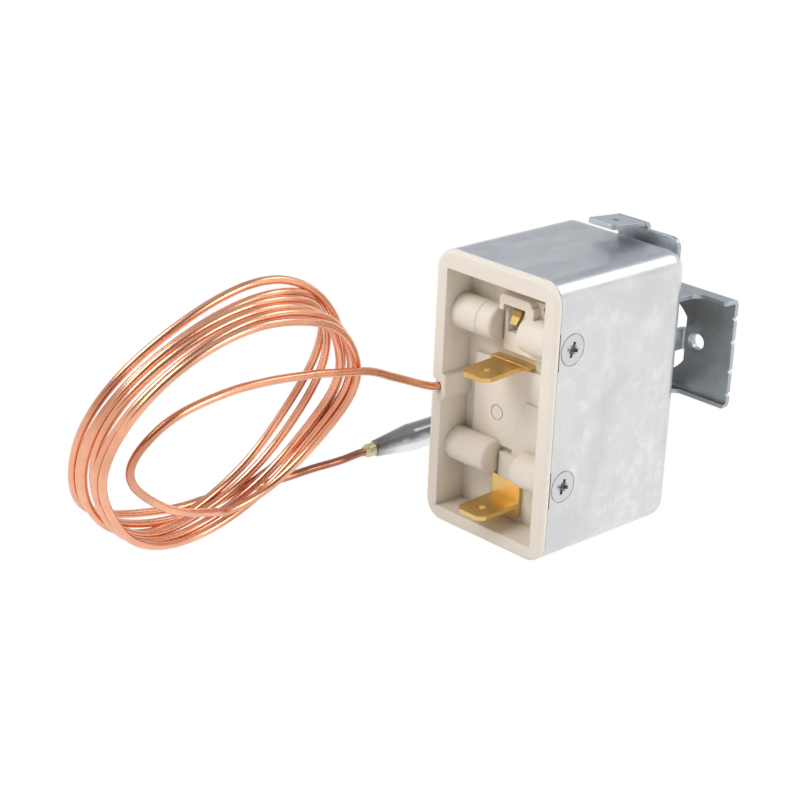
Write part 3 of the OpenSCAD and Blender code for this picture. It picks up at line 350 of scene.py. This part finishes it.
def tube_group():
    """Geometry Nodes tree that sweeps a round tube with closed ends along a line of edges."""
    group = bpy.data.node_groups.new("Tube along a route", "GeometryNodeTree")
    for label, kind in (("Route", "Geometry"), ("Diameter", "Float"), ("Sides", "Int"),
                        ("Material", "Material")):
        group.interface.new_socket(label, in_out="INPUT", socket_type="NodeSocket" + kind)
    group.interface.new_socket("Tube", in_out="OUTPUT", socket_type="NodeSocketGeometry")
    t = Tree(group)
    src = t.add("NodeGroupInput").outputs
    route = t.add("GeometryNodeMeshToCurve", {"Mesh": src["Route"]})
    radius = t.math("MULTIPLY", src["Diameter"], 0.5)
    ring = t.add("GeometryNodeCurvePrimitiveCircle", {"Resolution": src["Sides"], "Radius": radius})
    swept = t.add("GeometryNodeCurveToMesh", {"Curve": route.outputs[0], "Profile Curve": ring.outputs[0],
                                              "Fill Caps": True})
    whole = t.add("GeometryNodeRealizeInstances", {"Geometry": swept.outputs[0]})
    done = t.add("GeometryNodeSetMaterial", {"Geometry": whole.outputs[0], "Material": src["Material"]})
    t.add("NodeGroupOutput", {"Tube": done.outputs[0]})
    return group


def set_inputs(modifier, values):
    """Sets a Geometry Nodes modifier's inputs, given by the names of their sockets."""
    for item in modifier.node_group.interface.items_tree:
        if item.item_type == "SOCKET" and item.in_out == "INPUT" and item.name in values:
            modifier[item.identifier] = values[item.name]


class Finish(Tree):
    """Nodes of a new material, with its Principled shader and Object coordinates."""

    def __init__(self, name):
        self.material = bpy.data.materials.new(name)
        self.material.use_nodes = True
        self.material.node_tree.nodes.clear()
        super().__init__(self.material.node_tree)
        self.at = self.add("ShaderNodeTexCoord").outputs["Object"]
        self.shader = self.add("ShaderNodeBsdfPrincipled")
        self.end = self.add("ShaderNodeOutputMaterial", {"Surface": self.shader.outputs[0]})

    def zinc(self, crystal_size, scratch_amount):
        """Crystals, scratches and blotches of zinc, as sockets."""
        return self.add("ShaderNodeGroup", {"Coordinate": self.at, "Crystal size": crystal_size,
                                            "Scratch amount": scratch_amount},
                        node_tree=bpy.data.node_groups["Zinc spangle"]).outputs

    def wear(self, grain_scale, edge_width=0.0004):
        """Edge, dust and grain masks, as sockets."""
        return self.add("ShaderNodeGroup", {"Coordinate": self.at, "Edge width": edge_width,
                                            "Grain scale": grain_scale},
                        node_tree=bpy.data.node_groups["Edge, dust and shade"]).outputs

    def mix(self, factor, a, b):
        return self.add("ShaderNodeMix", {0: factor, 6: a, 7: b}, data_type="RGBA").outputs[2]

    def over(self, color, tone, mask, most=1.0, start=0.0, end=1.0):
        """Colour with a tone over it: none where the mask is at start, and the share most from end on."""
        return self.mix(self.ramp(mask, 0, most, start, end), color, tone)

    def upward(self):
        """How far a face looks up."""
        return self.parts(self.add("ShaderNodeNewGeometry").outputs["Normal"])[2]

    def bump(self, height, strength, distance, radius=None):
        """Normal from a height, over edges that are shaded with a radius where one is given."""
        inputs = {"Height": height, "Strength": strength, "Distance": distance}
        if radius is not None:
            inputs["Normal"] = self.add("ShaderNodeBevel", {"Radius": radius}, samples=6).outputs[0]
        return self.add("ShaderNodeBump", inputs).outputs[0]

    def shade(self, **inputs):
        """Gives the shader its inputs, and returns the finished material."""
        for key, value in inputs.items():
            self.put(self.shader.inputs[SHADER_SOCKETS[key]], value)
        return self.material


def tint(rgb, k):
    """Colour with its brightness multiplied."""
    return (*(min(1.0, c * k) for c in rgb), 1.0)


def paint(mat, *names):
    """Gives CAD nodes a material."""
    for name in names:
        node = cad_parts[name]
        node.data.materials.clear()
        node.data.materials.append(mat)


# Materials


def white_floor():
    """Pale floor, as white as the backdrop where it is seen directly, through glass or in metal."""
    f = Finish("Floor")
    f.shade(color=FLOOR_COLOR, rough=0.6, specular=0.2)
    glow = f.add("ShaderNodeEmission", {"Color": WHITE, "Strength": 1.0})
    ray = f.add("ShaderNodeLightPath").outputs
    direct = f.math("MAXIMUM", ray["Is Camera Ray"], ray["Is Transmission Ray"])
    seen = f.math("MAXIMUM", direct, ray["Is Glossy Ray"])
    pick = f.add("ShaderNodeMixShader", {0: seen, 1: f.shader.outputs[0], 2: glow.outputs[0]})
    f.put(f.end.inputs["Surface"], pick.outputs[0])
    return f.material


def copper_tube(looks):
    """Copper with a soft grain, reddish stains that also serve as painted dark reflections, and a darker
    tail low down towards the bulb.
    """
    base = tuple(looks.copper_color)
    f = Finish("Copper tube")
    grain = f.wear(grain_scale=260.0)["Grain"]
    color = f.over(tint(base, 0.93), tint(base, 1.06), grain, start=0.35, end=0.65)
    # Reddish stains, strong enough to stand in for painted dark reflections too
    stain_and_reflection = f.noise(f.at, scale=55.0, detail=1.0)[0]
    color = f.over(color, COPPER_STAIN_AND_REFLECTION, stain_and_reflection, most=0.7, start=0.46, end=0.66)
    # The tail turns darker low down and towards the bulb
    x, y, z = f.parts(f.at)
    darker_tail = f.math("MULTIPLY", f.ramp(y, 0, 0.75, *TUBE_DARK_Y), f.ramp(z, 1, 0, *TUBE_DARK_Z))
    darker_tail = f.math("MULTIPLY", darker_tail, f.ramp(x, 1, 0, *TUBE_DARK_X), clamp=True)
    return f.shade(color=f.mix(darker_tail, color, COPPER_TAIL_DARK), metal=1.0, rough=0.26)


def galvanised_case(looks):
    """Drawn galvanised sheet: crystals, scratches and rubbed walls, and a painted darker, cooler
    reflection on the top.
    """
    base = tuple(looks.steel_color)
    f = Finish("Galvanised case")
    s = f.zinc(looks.crystal, scratch_amount=0.5)
    color = f.over(tint(base, 1.0), tint(base, 0.9), s["Crystals"], most=0.35)
    color = f.over(color, tint(base, 1.12), s["Blotches"], most=0.4)
    color = f.over(color, tint(base, 0.55), s["Scratches"], most=0.35)
    # Faint drawing marks from top to bottom of the walls
    drawn = f.noise(f.stretched(f.at, (700.0, 700.0, 14.0)), scale=1.0)[0]
    color = f.over(color, tint(base, 0.78), drawn, most=0.14, start=0.4, end=0.65)
    # Pale rubbed patches with ragged edges
    rubbed = f.noise(f.at, scale=260.0, detail=6.0, roughness=0.7, distortion=0.35)[0]
    color = f.over(color, tint(base, 1.22), rubbed, most=0.5, start=0.5, end=0.64)
    # Broad dark clouds
    cloud = f.noise(f.at, scale=48.0, detail=4.0, distortion=0.5)[0]
    color = f.over(color, tint(base, 0.84), cloud, most=0.6, start=0.46, end=0.6)
    # Faces that look up get a painted darker, cooler reflection, streaked from front to back
    along = f.stretched(f.at, (300.0, 70.0, 70.0))
    strokes = f.noise(along, scale=1.0, detail=5.0, distortion=0.6)[0]
    painted_top_reflection = f.over(*TOP_ZINC_DARK_REFLECTION, strokes, start=0.35, end=0.68)
    color = f.over(color, painted_top_reflection, f.upward(), most=0.8, start=0.7, end=0.95)
    height = f.math("SUBTRACT", s["Scratches"], s["Blotches"])
    return f.shade(color=color, metal=0.92, rough=f.ramp(s["Crystals"], 0.3, 0.38),
                   normal=f.bump(height, strength=0.12, distance=0.00008, radius=looks.edge_round))


def zinc_bracket(looks):
    """Darker plated sheet, mottled, with small crystals and pale edges."""
    base = tuple(looks.zinc_color)
    f = Finish("Zinc bracket")
    s = f.zinc(crystal_size=1.1, scratch_amount=0.35)
    w = f.wear(grain_scale=900.0, edge_width=0.00015)
    color = f.mix(s["Blotches"], tint(base, 0.8), tint(base, 1.2))
    color = f.over(color, tint(base, 1.4), s["Crystals"], most=0.3)
    color = f.over(color, tint(base, 1.6), s["Scratches"], most=0.4)
    color = f.mix(w["Edge"], color, tint(base, 1.3))
    return f.shade(color=color, metal=0.9, rough=f.ramp(s["Blotches"], 0.32, 0.46),
                   normal=f.bump(s["Crystals"], strength=0.05, distance=0.00004,
                                 radius=looks.edge_round))


def plated_screws():
    """Bright plating of the small fasteners, with painted shade that greys their recesses."""
    f = Finish("Plated screws")
    w = f.wear(grain_scale=2400.0, edge_width=0.0002)
    # Painted shade: the plating turns grey in the hollows
    return f.shade(color=f.mix(w["Dust and shade"], *PLATING_AND_SHADE), metal=0.95, rough=0.3,
                   normal=f.bump(w["Grain"], strength=0.1, distance=0.00003))


def turned_steel():
    """Plain steel of the mechanism, with painted shade that darkens its hollows."""
    f = Finish("Turned steel")
    w = f.wear(grain_scale=1800.0, edge_width=0.0002)
    # Painted shade: the steel darkens in the hollows
    return f.shade(color=f.over(*TURNED_STEEL_AND_SHADE, w["Dust and shade"], most=0.6), metal=0.95,
                   rough=f.ramp(w["Grain"], 0.24, 0.4))


def cream_moulding(looks):
    """Moulded thermoset: soft light inside, fine grain, and hollows darkened by dust and painted shade."""
    base = tuple(looks.base_color)
    f = Finish("Cream moulding")
    w = f.wear(grain_scale=1500.0, edge_width=0.0003)
    color = f.over(tint(base, 1.0), tint(base, 1.1), w["Grain"], most=0.25)
    # Dust and painted shade darken the hollows
    color = f.over(color, MOULDING_DUST_AND_SHADE, w["Dust and shade"], most=0.3)
    return f.shade(color=color, rough=f.ramp(w["Grain"], 0.42, 0.55), specular=0.4, sss=0.12,
                   sss_scale=0.002,
                   normal=f.bump(w["Grain"], strength=0.08, distance=0.00005, radius=0.00025))


def insulating_board():
    """Brown laminate of the switch plate."""
    f = Finish("Insulating board")
    return f.shade(color=f.mix(f.wear(grain_scale=700.0)["Grain"], *BOARD), rough=0.55)


def ceramic():
    """Smooth off-white of the insulating pins, with painted shade that darkens their hollows."""
    f = Finish("Ceramic")
    # Painted shade: the off-white darkens in the hollows
    return f.shade(color=f.mix(f.wear(grain_scale=1200.0)["Dust and shade"], *CERAMIC_AND_SHADE), rough=0.25)


def terminal_brass(looks):
    """Bright brass of the two push-on terminals, with a soft grain, and hollows darkened by dust and
    painted shade.
    """
    base = tuple(looks.brass_color)
    f = Finish("Terminal brass")
    w = f.wear(grain_scale=900.0, edge_width=0.0002)
    color = f.mix(f.ramp(w["Grain"], 0.2, 0.7), tint(base, 0.9), tint(base, 1.1))
    # Dust and painted shade darken the hollows
    color = f.over(color, BRASS_DUST_AND_SHADE, w["Dust and shade"], most=0.5)
    return f.shade(color=color, metal=1.0, rough=f.ramp(w["Grain"], 0.26, 0.36),
                   normal=f.bump(w["Grain"], strength=0.03, distance=0.00003, radius=0.00012))


def dull_brass(looks):
    """Brass of the strip in the pocket, darker than the terminals, with hollows darkened by dust and
    painted shade.
    """
    base = tuple(looks.brass_color)
    f = Finish("Dull brass")
    w = f.wear(grain_scale=1200.0, edge_width=0.0002)
    # A darker copy of the terminal brass
    color = f.mix(f.ramp(w["Grain"], 0.2, 0.8), tint(base, 0.42), tint(base, 0.66))
    # Dust and painted shade darken the hollows
    return f.shade(color=f.mix(w["Dust and shade"], color, DULL_BRASS_DUST_AND_SHADE), metal=1.0, rough=0.42)


def turned_brass():
    """Bush, nut and rivet, with painted shade that darkens their grooves."""
    f = Finish("Turned brass")
    mask = f.wear(grain_scale=1400.0, edge_width=0.0002)["Dust and shade"]
    # Painted shade: the brass darkens in the grooves
    return f.shade(color=f.mix(mask, *TURNED_BRASS_AND_SHADE), metal=1.0, rough=0.33)


def spring_bronze():
    """Rolled sheet of the snap blade."""
    f = Finish("Spring bronze")
    mask = f.wear(grain_scale=1600.0, edge_width=0.0001)["Grain"]
    return f.shade(color=f.mix(mask, *BRONZE), metal=1.0, rough=0.3)


def contact_silver():
    """Contact faces, tarnished at their rims."""
    f = Finish("Contact silver")
    mask = f.wear(grain_scale=1600.0, edge_width=0.0001)["Dust and shade"]
    return f.shade(color=f.mix(mask, *SILVER), metal=1.0, rough=0.25)


def solder():
    """Lumpy yellowish joint between tube and bulb."""
    f = Finish("Solder")
    grain = f.wear(grain_scale=1600.0)["Grain"]
    return f.shade(color=f.mix(grain, *SOLDER), metal=0.9, rough=0.35,
                   normal=f.bump(grain, strength=0.4, distance=0.0002))


def bulb_steel():
    """Pale steel with a painted dark reflection on top, ragged at its edge, and darker where its cone was
    soldered.
    """
    f = Finish("Bulb")
    grain = f.wear(grain_scale=500.0, edge_width=0.0003)["Grain"]
    # Painted dark reflection on the faces that look up, with a ragged edge
    ragged = f.math("ADD", f.upward(), f.ramp(grain, -0.3, 0.3))
    color = f.over(f.mix(grain, *BULB), BULB_TOP_DARK_REFLECTION, ragged, most=0.8, start=0.2, end=0.5)
    color = f.mix(f.ramp(f.parts(f.at)[1], 0.8, 0, *BULB_HEAT_Y), color, BULB_HEAT)
    return f.shade(color=color, metal=0.9, rough=f.ramp(grain, 0.2, 0.32))


# Properties


class ThermostatLooks(bpy.types.PropertyGroup):
    """Sizes and colours that a user may want to change"""

    wire_d: bpy.props.FloatProperty(
        name="Capillary diameter", description="Outer diameter of the copper tube",
        default=0.0014, unit="LENGTH")
    tube_sides: bpy.props.IntProperty(
        name="Tube sides", description="Flat sides round the copper tube", default=16, min=6)
    coil_half: bpy.props.FloatProperty(
        name="Coil half depth", description="Distance of the outermost turns from the coil's middle plane",
        default=0.00404, unit="LENGTH")
    edge_round: bpy.props.FloatProperty(
        name="Edge rounding", description="Radius that sharp sheet edges are shaded with",
        default=0.00018, unit="LENGTH")
    crystal: bpy.props.FloatProperty(
        name="Spangle size", description="Size of the zinc crystals in millimetres", default=2.4)
    steel_color: bpy.props.FloatVectorProperty(
        name="Case steel", description="Colour of the galvanised case",
        default=(0.74, 0.74, 0.74), subtype="COLOR")
    zinc_color: bpy.props.FloatVectorProperty(
        name="Bracket zinc", description="Colour of the plated bracket",
        default=(0.42, 0.45, 0.47), subtype="COLOR")
    base_color: bpy.props.FloatVectorProperty(
        name="Moulding", description="Colour of the terminal base",
        default=(0.83, 0.765, 0.665), subtype="COLOR")
    brass_color: bpy.props.FloatVectorProperty(
        name="Brass", description="Colour of the terminals", default=(0.78, 0.54, 0.2), subtype="COLOR")
    copper_color: bpy.props.FloatVectorProperty(
        name="Copper", description="Colour of the capillary", default=(0.92, 0.46, 0.29), subtype="COLOR")
    lamp_level: bpy.props.FloatProperty(
        name="Lamp level", description="Common factor on the power of the studio lamps", default=1.0)


# Operators


def camera_matrix():
    """Camera placement from azimuth, elevation and roll, looking into the scene."""
    a, e, r = (math.radians(v) for v in (CAMERA_AZIMUTH, CAMERA_ELEVATION, CAMERA_ROLL))
    back = Vector((math.sin(a) * math.cos(e), -math.cos(a) * math.cos(e), math.sin(e)))
    right = Vector((math.cos(a), math.sin(a), 0))
    up = back.cross(right)
    turn = Matrix.Rotation(r, 3, back)
    right, up = turn @ right, turn @ up
    m = Matrix((right, up, back)).transposed().to_4x4()
    m.translation = place(*CAMERA_AT)
    return m


def photo_camera():
    """Camera at the photograph's place, with its lens."""
    cam = bpy.data.cameras.new("Camera")
    cam.sensor_width = SENSOR
    cam.lens = LENS
    cam.clip_start, cam.clip_end = CLIP
    view = bpy.data.objects.new("Camera", cam)
    view.matrix_world = camera_matrix()
    return view


def studio_world():
    """White to the camera, and a soft room for the light, darker on the photographer's side."""
    world = bpy.data.worlds.new("Studio")
    world.use_nodes = True
    world.node_tree.nodes.clear()
    t = Tree(world.node_tree)
    ray = t.add("ShaderNodeLightPath").outputs
    toward = t.add("ShaderNodeTexCoord").outputs["Generated"]
    side = t.dot(toward, PHOTOGRAPHER_SIDE)
    # The darker side gives the round metal its dark bands
    room = t.ramp(side, *ROOM_STRENGTH, *SIDE_EDGE)
    soft = t.add("ShaderNodeBackground", {"Color": ROOM_COLOR, "Strength": room})
    white = t.add("ShaderNodeBackground", {"Color": WHITE, "Strength": 1.0})
    direct = t.math("MAXIMUM", ray["Is Camera Ray"], ray["Is Transmission Ray"])
    # Metal shows the white backdrop behind the object too, and the darker room above it and before it
    behind = t.ramp(side, 1, 0, *SIDE_EDGE)
    low = t.ramp(t.parts(toward)[2], 1, 0, *BACKDROP_EDGE)
    mirrored = t.math("MULTIPLY", ray["Is Glossy Ray"], t.math("MULTIPLY", behind, low))
    shown = t.math("MAXIMUM", direct, mirrored)
    mix = t.add("ShaderNodeMixShader", {0: shown, 1: soft.outputs[0], 2: white.outputs[0]})
    t.add("ShaderNodeOutputWorld", {"Surface": mix.outputs[0]})
    return world


class THERMO_OT_stage(bpy.types.Operator):
    """Camera at the photograph's place, pale floor, white surroundings and soft studio lamps"""

    bl_idname = "thermo.stage"
    bl_label = "Stage"

    def execute(self, context):
        looks = context.scene.thermo_looks
        view = photo_camera()
        context.collection.objects.link(view)
        context.scene.camera = view
        context.scene.view_settings.view_transform = "Standard"
        context.scene.world = studio_world()

        mesh = bpy.data.meshes.new("Floor")
        s = FLOOR_HALF
        mesh.from_pydata([(-s, -s, 0), (s, -s, 0), (s, s, 0), (-s, s, 0)], [], [(0, 1, 2, 3)])
        mesh.materials.append(white_floor())
        floor = bpy.data.objects.new("Floor", mesh)
        floor.location.z = FLOOR_Z
        context.collection.objects.link(floor)

        for name, at, aim, side, watts in LAMPS:
            lamp = bpy.data.lights.new(name, "AREA")
            lamp.size = side
            lamp.energy = watts * looks.lamp_level
            stand = bpy.data.objects.new(name, lamp)
            stand.location = at
            stand.rotation_euler = (Vector(aim) - Vector(at)).to_track_quat("-Z", "Y").to_euler()
            context.collection.objects.link(stand)
        return {"FINISHED"}


class THERMO_OT_capillary(bpy.types.Operator):
    """Copper capillary: lead, wound turns and tail as one tube that ends in the bulb"""

    bl_idname = "thermo.capillary"
    bl_label = "Capillary"

    def execute(self, context):
        looks = context.scene.thermo_looks
        coil = coil_route(looks.coil_half / MM)
        if (coil[-1] - Vector(TAIL[0])).length > TAIL_REACH:
            raise RuntimeError("the coil's end is too far from the tail")
        route = rounded_route(LEAD[:-1]) + coil + rounded_route(TAIL[1:])
        points = [place(*p) for p in route]

        line = bpy.data.meshes.new("capillary_route")
        line.from_pydata(points, [(k, k + 1) for k in range(len(points) - 1)], [])
        drawn = bpy.data.objects.new("capillary_route", line)
        context.collection.objects.link(drawn)
        sweep = drawn.modifiers.new("Tube", "NODES")
        sweep.node_group = tube_group()
        set_inputs(sweep, {"Diameter": looks.wire_d, "Sides": looks.tube_sides,
                           "Material": copper_tube(looks)})
        mesh = bpy.data.meshes.new_from_object(drawn.evaluated_get(context.evaluated_depsgraph_get()))
        bpy.data.objects.remove(drawn)
        mesh.name = "capillary_tube"
        mesh.shade_smooth()
        tube = bpy.data.objects.new("capillary_tube", mesh)
        context.collection.objects.link(tube)
        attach(tube, "housing")
        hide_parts("capillary_lead", "capillary_coil", "capillary_tail")
        return {"FINISHED"}


class THERMO_OT_case_finish(bpy.types.Operator):
    """Galvanised case, zinc-plated bracket, plated screws and rivets, and the steel of the mechanism"""

    bl_idname = "thermo.case_finish"
    bl_label = "Case finishes"

    def execute(self, context):
        looks = context.scene.thermo_looks
        paint(galvanised_case(looks), "steel_case")
        paint(zinc_bracket(looks), "front_bracket")
        paint(plated_screws(), "case_screws", "bracket_rivets", "bush_nut")
        paint(turned_steel(), "setpoint_spindle", "stop_finger", "retaining_ring", "pivot_pin",
              "range_spring", "mechanism_frame", "sensing_lever", "diaphragm_capsule")
        return {"FINISHED"}


class THERMO_OT_base_finish(bpy.types.Operator):
    """Cream moulding, insulating board and ceramic pins"""

    bl_idname = "thermo.base_finish"
    bl_label = "Moulding finishes"

    def execute(self, context):
        paint(cream_moulding(context.scene.thermo_looks), "terminal_base")
        paint(insulating_board(), "switch_plate")
        paint(ceramic(), "push_pin", "thrust_stud")
        return {"FINISHED"}


class THERMO_OT_brass_finish(bpy.types.Operator):
    """Brass terminals and turned brass, contact silver and the bronze blade"""

    bl_idname = "thermo.brass_finish"
    bl_label = "Brass finishes"

    def execute(self, context):
        looks = context.scene.thermo_looks
        paint(terminal_brass(looks), "upper_terminal", "lower_terminal")
        paint(dull_brass(looks), "third_terminal")
        paint(turned_brass(), "bush", "setpoint_nut", "blade_rivet")
        paint(spring_bronze(), "snap_blade")
        paint(contact_silver(), "moving_contact", "fixed_contacts")
        return {"FINISHED"}


class THERMO_OT_sensor_finish(bpy.types.Operator):
    """Solder joint, bulb and the copper solids behind the capillary"""

    bl_idname = "thermo.sensor_finish"
    bl_label = "Sensor finishes"

    def execute(self, context):
        paint(bpy.data.materials["Copper tube"], "inner_capillary", "capillary_lead", "capillary_coil",
              "capillary_tail")
        paint(solder(), "solder_joint")
        paint(bulb_steel(), "sensor_bulb")
        return {"FINISHED"}


class THERMO_PT_panel(bpy.types.Panel):
    """Sizes, colours and steps of the thermostat's looks"""

    bl_idname = "THERMO_PT_panel"
    bl_label = "Capillary thermostat"
    bl_space_type = "VIEW_3D"
    bl_region_type = "UI"
    bl_category = "Thermostat"

    def draw(self, context):
        looks = context.scene.thermo_looks
        for name in looks.bl_rna.properties.keys():
            if name not in ("rna_type", "name"):
                self.layout.prop(looks, name)
        for step in OPERATORS:
            self.layout.operator(step.bl_idname)


OPERATORS = (
    THERMO_OT_stage,
    THERMO_OT_capillary,
    THERMO_OT_case_finish,
    THERMO_OT_base_finish,
    THERMO_OT_brass_finish,
    THERMO_OT_sensor_finish,
)
CLASSES = (ThermostatLooks, *OPERATORS, THERMO_PT_panel)


def register():
    for cls in CLASSES:
        bpy.utils.register_class(cls)
    bpy.types.Scene.thermo_looks = bpy.props.PointerProperty(type=ThermostatLooks)


def unregister():
    del bpy.types.Scene.thermo_looks
    for cls in reversed(CLASSES):
        bpy.utils.unregister_class(cls)


def main():
    register()
    spangle_group()
    wear_group()
    bpy.ops.thermo.stage()
    bpy.ops.thermo.capillary()
    bpy.ops.thermo.case_finish()
    bpy.ops.thermo.base_finish()
    bpy.ops.thermo.brass_finish()
    bpy.ops.thermo.sensor_finish()


if __name__ == "__main__":
    main()
